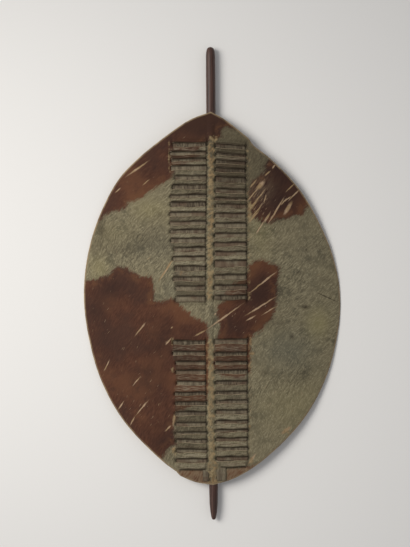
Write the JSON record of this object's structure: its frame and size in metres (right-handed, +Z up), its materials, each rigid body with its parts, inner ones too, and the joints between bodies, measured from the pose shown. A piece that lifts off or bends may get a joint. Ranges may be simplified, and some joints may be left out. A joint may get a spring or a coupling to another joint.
{
  "type": "hide shield",
  "caption": "Pointed oval cowhide shield with two columns of slits woven with hide strips, held by ties to a round wooden stave behind it.",
  "frame": {"origin": "on the ground under the middle of the stave's length, the shield lying on its back", "axes": "+X to the right as seen from the hair side, +Y along the stave to its longer upper end, +Z up through the hair side"},
  "size_m": [0.5941, 1.095, 0.0517],
  "materials": {
    "hide": "stiff cowhide with short hair, brown patches on grey",
    "lacing": "grey hide strip with short hair",
    "stave": "dark brown wood worn smooth",
    "tie": "bare rawhide"
  },
  "bodies": {
    "root": {"hide": "hide", "stave": "stave", "lacing_upper_left": "lacing", "lacing_upper_right": "lacing", "lacing_lower_left": "lacing", "lacing_lower_right": "lacing", "stave_tie_1": "tie", "stave_tie_2": "tie", "stave_tie_3": "tie", "stave_tie_4": "tie", "stave_tie_5": "tie", "stave_tie_6": "tie"}
  },
  "joints": []
}
